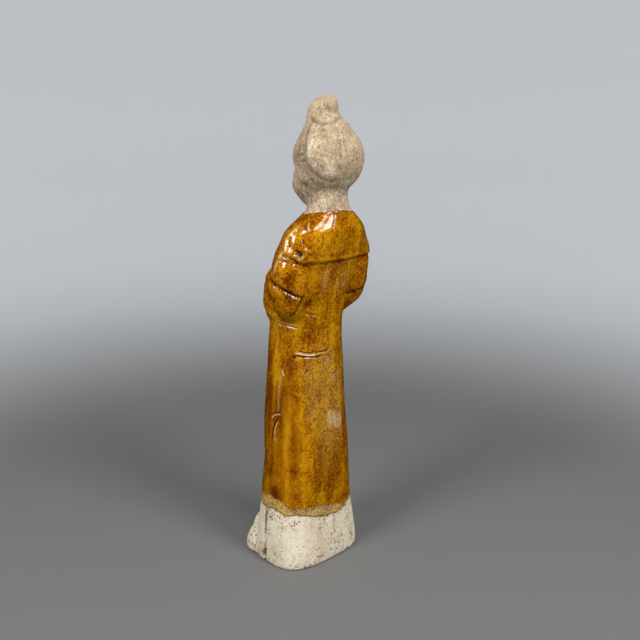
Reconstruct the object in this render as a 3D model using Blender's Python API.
"""Standing court lady of earthenware with an amber glaze: one moulded, luted and fired piece.

Metres, +Z up. She faces -Y with her left hand towards +X, and stands at Z = 0 on the flat
underside of her hem. The origin is the middle of that underside.
"""

import math

import bmesh
import bpy
import numpy as np
from mathutils import Matrix, Vector

# Driving size, and the unit that the whole figure is laid out in.
FIGURE_HEIGHT = 0.270
PER_CENT = FIGURE_HEIGHT / 100.0  # one hundredth of the height; every form below is counted in it

# How finely the soft clay is modelled before it is pared down to facets.
CLAY_GRAIN = 0.42  # side of the voxels that fuse the lumps, in hundredths of the height
SMOOTHING_PASSES = 5
FACET_SHARE = 0.105  # share of the fused skin's facets that is kept
RING_SIDES = 64
RING_GAP = 1.6  # between the rings of the robe, in hundredths
BALLS_PER_STRETCH = 8  # in a roll of clay, from one stop to the next

# Materials, as linear colours.
GLAZE_COLOUR = (0.42, 0.17, 0.015, 1.0)
GLAZE_ROUGHNESS = 0.18

# The robe, from just under the floor up to the neck: level, middle x and y, half width, half depth
# to the front and to the back, and how square the section is at the front and at the back.
ROBE = (
    (-3.0, -0.2, -0.9, 11.3, 9.3, 8.7, 2.3, 3.3),
    (2.0, -0.2, -0.9, 11.5, 9.4, 8.8, 2.3, 3.3),
    (7.4, -0.1, -0.9, 11.1, 8.8, 8.5, 2.3, 3.0),
    (13.7, 0.0, -0.9, 10.4, 7.7, 8.2, 2.2, 2.8),
    (25.9, 0.0, -0.3, 9.4, 7.2, 7.7, 2.2, 2.6),
    (35.2, 0.0, -0.3, 8.8, 7.2, 7.2, 2.2, 2.5),
    (46.3, 0.0, 0.0, 8.1, 6.8, 6.7, 2.2, 2.4),
    (53.3, -0.1, 0.1, 7.6, 6.7, 6.6, 2.2, 2.4),
    (59.3, -0.5, 0.9, 7.9, 6.8, 6.5, 2.2, 2.5),
    (64.8, -1.0, 2.0, 8.9, 6.6, 6.4, 2.2, 2.6),
    (69.6, -1.6, 3.2, 9.4, 6.0, 6.1, 2.2, 2.6),
    (73.0, -1.9, 3.9, 8.6, 5.3, 5.6, 2.1, 2.4),
    (75.6, -2.0, 4.1, 6.8, 4.6, 5.1, 2.0, 2.1),
    (77.4, -2.0, 4.1, 5.1, 4.2, 4.8, 2.0, 2.0),
    (79.6, -2.0, 4.1, 4.5, 4.1, 4.6, 2.0, 2.0),
    (83.5, -2.1, 4.2, 4.6, 4.1, 4.5, 2.0, 2.0),
)

# The head: its middle, then each lump as a shift from there and its radii.
HEAD = (-2.15, 4.5, 86.6)
SKULL = ((0.0, -0.4, -1.0), (6.2, 6.0, 6.2))
BROW = ((0.0, -3.0, 0.6), (5.0, 3.8, 4.2))
FACE = ((0.0, -2.5, -3.3), (5.4, 5.4, 6.4))
CHIN = ((0.0, -4.7, -7.0), (2.6, 2.6, 2.1))
LIPS = ((0.0, -7.4, -6.0), (1.25, 0.75, 0.6))
CHEEK = ((2.3, -4.3, -4.4), (2.9, 2.6, 2.9))
NOSE = (((0.0, -7.0, -1.2), 0.55), ((0.0, -8.0, -4.0), 0.9))

# The hair: the full cap with the two planes that trim it, each a point and how steeply it falls
# towards the nape, then the roll that frames the face, the crown and the topknot.
HAIR = ((0.0, 0.05, 0.9), (7.3, 7.25, 7.2))
HAIR_TRIMS = (((0.0, -6.8, 2.7), 1.15), ((0.0, -2.0, -3.0), 0.35))
HAIR_ROLL = (((0.0, -5.6, 3.8), 1.4), ((2.2, -4.9, 3.5), 1.5), ((4.2, -3.5, 2.4), 1.6),
             ((5.3, -2.0, 0.2), 1.7), ((5.5, -0.9, -2.4), 1.5))
CROWN = ((0.0, -0.3, 4.2), (5.6, 5.5, 5.5))
TOPKNOT = (((0.0, -0.6, 6.6), (4.3, 3.7, 3.9)), ((0.0, -1.4, 8.4), (3.8, 3.1, 3.4)),
           ((0.0, -1.6, 10.0), (3.4, 2.8, 3.0)), ((0.0, -0.7, 11.3), (2.6, 2.2, 2.2)))

# The arms: the middle line at each stop, half the spacing across it, and the arm's radius there.
SHOULDER = ((-2.0, 4.1, 72.0), 6.0, 3.5)
UPPER_ARM = ((-1.5, 3.3, 67.8), 8.5, 3.6)
ELBOW = ((-1.2, 2.9, 62.6), 9.6, 3.5)
ELBOW_FOLD = (((-1.4, 4.3, 64.6), 8.1, 3.4), ((-1.1, 4.1, 61.6), 8.0, 3.4))
FOREARM = ((-0.9, -2.2, 62.2), 6.9, 3.3)
HANDS = ((-0.5, -6.0, 62.4), 1.9, 3.0)

# What the shawl stretches over between each upper arm and the back.
SHAWL_TOP = ((-1.9, 4.5, 72.2), 4.8, 3.5)
SHAWL_HEM = ((-1.6, 4.5, 68.4), 7.5, 3.5)

# The full sleeves that hang under the forearms, back end to front end, and how tall they are.
SLEEVE_ELBOW = ((-0.8, 2.9, 59.6), 8.3, 3.4)
SLEEVE_BACK = ((-0.9, 1.2, 57.9), 6.6, 3.5)
SLEEVE_SIDE = ((-0.9, -2.2, 57.4), 5.6, 3.6)
SLEEVE_FRONT = ((-0.7, -5.0, 57.2), 3.6, 3.3)
SLEEVE_MEET = ((-0.6, -6.5, 57.6), 1.2, 2.7)
SLEEVE_STRETCH = 1.18
BETWEEN = (((-0.8, -3.6, 60.0), 5.0, 3.3), ((-0.6, -6.4, 60.0), 1.5, 3.1))
CUFF = (((-0.6, -6.8, 56.0), 1.9, 2.3), ((-0.5, -6.8, 52.4), 1.5, 1.7), ((-0.4, -6.7, 49.4), 0.9, 1.1))

# The shoes: the toe cap under the hem and its raised tip.
TOE = ((0.0, -6.8, 1.0), 5.7, (5.0, 4.9, 5.0))
TOE_TIP = ((0.0, -8.9, 3.9), 5.2, (3.6, 2.2, 2.9))

# The carving. A turn is the angle away from the front, round the robe, in degrees.
SHAWL_EDGE = 66.9
SHAWL_STEP = 0.34
SHAWL_RISE = 1.2  # over the arms
CLEFT_TOP = 12.6
CLEFT_DEPTH = 1.5
TAIL_TURNS = (44.0, 88.0)  # the end of the shawl that hangs beside the skirt's front
TAIL_LEVELS = (25.2, 55.5)
TAIL_STEP = 0.25
PLEAT_STEP = 0.22
PLEATS = 14.0  # round the whole skirt, of which the front half shows
FOLD_STEP = 0.2
FOLD_GAP = 1.9  # between the folds of the cuffs


def smooth_between(value, low, high):
    """0 below low, 1 above high, with an even ramp between them."""
    share = np.clip((value - low) / (high - low), 0.0, 1.0)
    return share * share * (3.0 - 2.0 * share)


def band(value, low, high, soft):
    """1 between low and high, fading to 0 over soft on each side."""
    return smooth_between(value, low - soft, low + soft) * smooth_between(-value, -high - soft, soft - high)


def robe_section(level):
    """The robe's section at a level, read from a smooth curve through the rows of ROBE."""
    rows = np.array(ROBE)
    levels = rows[:, 0]
    span = int(np.clip(np.searchsorted(levels, level) - 1, 0, len(rows) - 2))
    before, after = rows[max(span - 1, 0)], rows[min(span + 2, len(rows) - 1)]
    start, end = rows[span], rows[span + 1]
    gap = end[0] - start[0]
    share = (level - start[0]) / gap
    slope_in = (end - before) / (end[0] - before[0]) * gap
    slope_out = (after - start) / (after[0] - start[0]) * gap
    cube, square = share**3, share**2
    return (
        start * (2 * cube - 3 * square + 1)
        + slope_in * (cube - 2 * square + share)
        + end * (3 * square - 2 * cube)
        + slope_out * (cube - square)
    )[1:]


def robe_ring(level):
    """One ring of points round the robe."""
    middle_x, middle_y, width, front, back, square_front, square_back = robe_section(level)
    ring = []
    for step in range(RING_SIDES):
        turn = 2.0 * math.pi * step / RING_SIDES
        across, along = math.cos(turn), math.sin(turn)
        power = 2.0 / (square_back if along > 0.0 else square_front)
        depth = back if along > 0.0 else front
        x = middle_x + width * math.copysign(abs(across) ** power, across)
        y = middle_y + depth * math.copysign(abs(along) ** power, along)
        ring.append((x, y, level))
    return ring


def add_robe(clay):
    """The robe with the neck, lofted through rings and closed at both ends."""
    foot, top = ROBE[0][0], ROBE[-1][0]
    count = round((top - foot) / RING_GAP)
    levels = [foot + (top - foot) * row / count for row in range(count + 1)]
    rings = [[clay.verts.new(point) for point in robe_ring(level)] for level in levels]
    for lower, upper in zip(rings, rings[1:]):
        for step in range(RING_SIDES):
            after = (step + 1) % RING_SIDES
            clay.faces.new((lower[step], lower[after], upper[after], upper[step]))
    clay.faces.new(reversed(rings[0]))
    clay.faces.new(rings[-1])


def add_ball(clay, middle, radii):
    """A ball of clay, squeezed to three radii."""
    shape = Matrix.Translation(middle) @ Matrix.Diagonal((*radii, 1.0))
    bmesh.ops.create_icosphere(clay, subdivisions=4, radius=1.0, matrix=shape)


def add_roll(clay, stops, stretch=1.0):
    """A roll of clay through stops, each a point and a radius, laid as a close row of balls."""
    for (start, thick), (end, thin) in zip(stops, stops[1:]):
        for step in range(BALLS_PER_STRETCH):
            share = step / (BALLS_PER_STRETCH - 1)
            radius = thick + (thin - thick) * share
            add_ball(clay, Vector(start).lerp(Vector(end), share), (radius, radius, radius * stretch))


def beside(stop, side):
    """A stop on one side of its middle line, as a point and what is left of the stop."""
    middle, spacing, size = stop
    return (middle[0] + side * spacing, middle[1], middle[2]), size


def head_point(shift, side=1.0):
    return tuple(Vector(HEAD) + Vector((side * shift[0], shift[1], shift[2])))


def add_face(clay):
    """Skull, brow, cheeks, chin, nose and lips."""
    for shift, radii in (SKULL, BROW, FACE, CHIN, LIPS):
        add_ball(clay, head_point(shift), radii)
    for side in (-1.0, 1.0):
        add_ball(clay, head_point(CHEEK[0], side), CHEEK[1])
    add_roll(clay, [(head_point(shift), radius) for shift, radius in NOSE])


def join(clay, other):
    """Adds the faces of another lump to the clay."""
    loose = bpy.data.meshes.new("lump")
    other.to_mesh(loose)
    other.free()
    clay.from_mesh(loose)
    bpy.data.meshes.remove(loose)


def add_hair(clay):
    """The cap of hair trimmed along the brow and the nape, its roll, the crown and the topknot."""
    cap = bmesh.new()
    add_ball(cap, head_point(HAIR[0]), HAIR[1])
    for point, fall in HAIR_TRIMS:
        cut = bmesh.ops.bisect_plane(
            cap,
            geom=cap.verts[:] + cap.edges[:] + cap.faces[:],
            plane_co=head_point(point),
            plane_no=(0.0, fall, 1.0),
            clear_inner=True,
        )
        rim = [item for item in cut["geom_cut"] if isinstance(item, bmesh.types.BMEdge)]
        bmesh.ops.contextual_create(cap, geom=rim)
    join(clay, cap)
    for side in (-1.0, 1.0):
        add_roll(clay, [(head_point(shift, side), radius) for shift, radius in HAIR_ROLL])
    for shift, radii in (CROWN, *TOPKNOT):
        add_ball(clay, head_point(shift), radii)


def add_arms(clay):
    """Both arms with the shawl over them and their full sleeves, the hands joined inside."""
    rolls = (
        ((SHOULDER, UPPER_ARM, ELBOW, FOREARM, HANDS), 1.0),
        ((SHAWL_TOP, SHAWL_HEM), 1.0),
        (ELBOW_FOLD, 1.0),
        ((SLEEVE_ELBOW, SLEEVE_BACK, SLEEVE_SIDE, SLEEVE_FRONT, SLEEVE_MEET), SLEEVE_STRETCH),
        (BETWEEN, 1.0),
        (CUFF, 1.0),
    )
    for side in (-1.0, 1.0):
        for stops, stretch in rolls:
            add_roll(clay, [beside(stop, side) for stop in stops], stretch)


def add_shoes(clay):
    for side in (-1.0, 1.0):
        for lump in (TOE, TOE_TIP):
            add_ball(clay, *beside(lump, side))


def carving(points):
    """How far the surface is raised at each point, in hundredths of the height."""
    x, y, z = points.T
    levels = [row[0] for row in ROBE]
    across = x - np.interp(z, levels, [row[1] for row in ROBE])
    along = y - np.interp(z, levels, [row[2] for row in ROBE])
    turn = np.degrees(np.arctan2(np.abs(across), -along))  # 0 in front, 90 at each side, 180 behind

    # The shawl over the shoulders, open in front, with a lower edge that rises over the arms.
    edge = SHAWL_EDGE + SHAWL_RISE * smooth_between(-turn, -118.0, -92.0)
    opening = np.abs(across) - 0.3 - 0.42 * (77.0 - z)
    closed = np.maximum(smooth_between(opening, -0.3, 0.3), along > 0.0)
    raised = SHAWL_STEP * band(z, edge, 76.9, 0.3) * closed

    # The ends of the shawl, which hang beside the front of the skirt and end in a round.
    middle = sum(TAIL_TURNS) / 2.0
    half = TAIL_TURNS[1] - middle
    tail_foot = TAIL_LEVELS[0] + 3.0 * ((turn - middle) / half) ** 2
    tail = band(turn, *TAIL_TURNS, 1.5) * smooth_between(z, tail_foot - 0.3, tail_foot + 0.3)
    raised += TAIL_STEP * tail * smooth_between(-z, -TAIL_LEVELS[1] - 1.0, 1.0 - TAIL_LEVELS[1])

    # The cleft in each side of the hem, between the back of the robe and the shoe.
    opened = smooth_between(-z, -CLEFT_TOP, 0.0)
    wide = 0.3 + 0.6 * opened
    cleft = np.exp(-(((y + 3.2) / wide) ** 2)) * opened * (np.abs(across) > 5.0)
    raised -= CLEFT_DEPTH * cleft

    # Soft pleats down the front of the skirt, and hanging folds in the cuffs.
    front = smooth_between(-turn, -50.0, -25.0)
    skirt = band(z, 10.0, 50.0, 4.0)
    raised += PLEAT_STEP * front * skirt * np.cos(np.radians(turn * PLEATS))
    cuffs = band(z, 51.0, 60.0, 1.5) * smooth_between(-turn, -48.0, -30.0)
    raised += FOLD_STEP * cuffs * np.cos(2.0 * math.pi * across / FOLD_GAP)
    return raised


def evaluated_mesh(shape):
    """The object's mesh with its modifiers applied."""
    return bpy.data.meshes.new_from_object(shape.evaluated_get(bpy.context.evaluated_depsgraph_get()))


def new_object(name, mesh):
    shape = bpy.data.objects.new(name, mesh)
    bpy.context.scene.collection.objects.link(shape)
    return shape


def fused_skin():
    """The lumps pressed together into one skin, with the carving cut into it, in metres."""
    clay = bmesh.new()
    for add in (add_robe, add_face, add_hair, add_arms, add_shoes):
        add(clay)
    lumps = bpy.data.meshes.new("lumps")
    clay.to_mesh(lumps)
    clay.free()
    shape = new_object("lumps", lumps)
    fuse = shape.modifiers.new("Fuse", "REMESH")
    fuse.mode = "VOXEL"
    fuse.voxel_size = CLAY_GRAIN
    soften = shape.modifiers.new("Soften", "SMOOTH")
    soften.iterations = SMOOTHING_PASSES
    skin = evaluated_mesh(shape)
    bpy.data.objects.remove(shape)
    bpy.data.meshes.remove(lumps)

    points = np.empty(len(skin.vertices) * 3, np.float32)
    normals = np.empty(len(skin.vertices) * 3, np.float32)
    skin.vertices.foreach_get("co", points)
    skin.vertices.foreach_get("normal", normals)
    points = points.reshape(-1, 3).astype(float)
    points += normals.reshape(-1, 3) * carving(points)[:, None]
    skin.vertices.foreach_set("co", (points * PER_CENT).astype(np.float32).ravel())
    skin.update()
    return skin


def glaze_material():
    material = bpy.data.materials.new("amber_glaze")
    material.use_nodes = True
    shader = material.node_tree.nodes["Principled BSDF"]
    shader.inputs["Base Color"].default_value = GLAZE_COLOUR
    shader.inputs["Roughness"].default_value = GLAZE_ROUGHNESS
    return material


def add_floor_cutter():
    """A block that takes away whatever hangs below the underside."""
    block = bmesh.new()
    side = 2.0 * FIGURE_HEIGHT
    bmesh.ops.create_cube(block, size=side, matrix=Matrix.Translation((0.0, 0.0, -side / 2.0)))
    mesh = bpy.data.meshes.new("floor_cutter")
    block.to_mesh(mesh)
    block.free()
    cutter = new_object("floor_cutter", mesh)
    cutter.hide_render = True
    cutter.display_type = "WIRE"
    return cutter


def main():
    for old in list(bpy.data.objects):
        bpy.data.objects.remove(old)
    lady = new_object("court_lady", fused_skin())
    pare = lady.modifiers.new("Pare", "DECIMATE")
    pare.ratio = FACET_SHARE
    pare.use_collapse_triangulate = True
    level = lady.modifiers.new("Level", "BOOLEAN")
    level.operation = "DIFFERENCE"
    level.object = add_floor_cutter()
    lady.data.materials.append(glaze_material())


main()
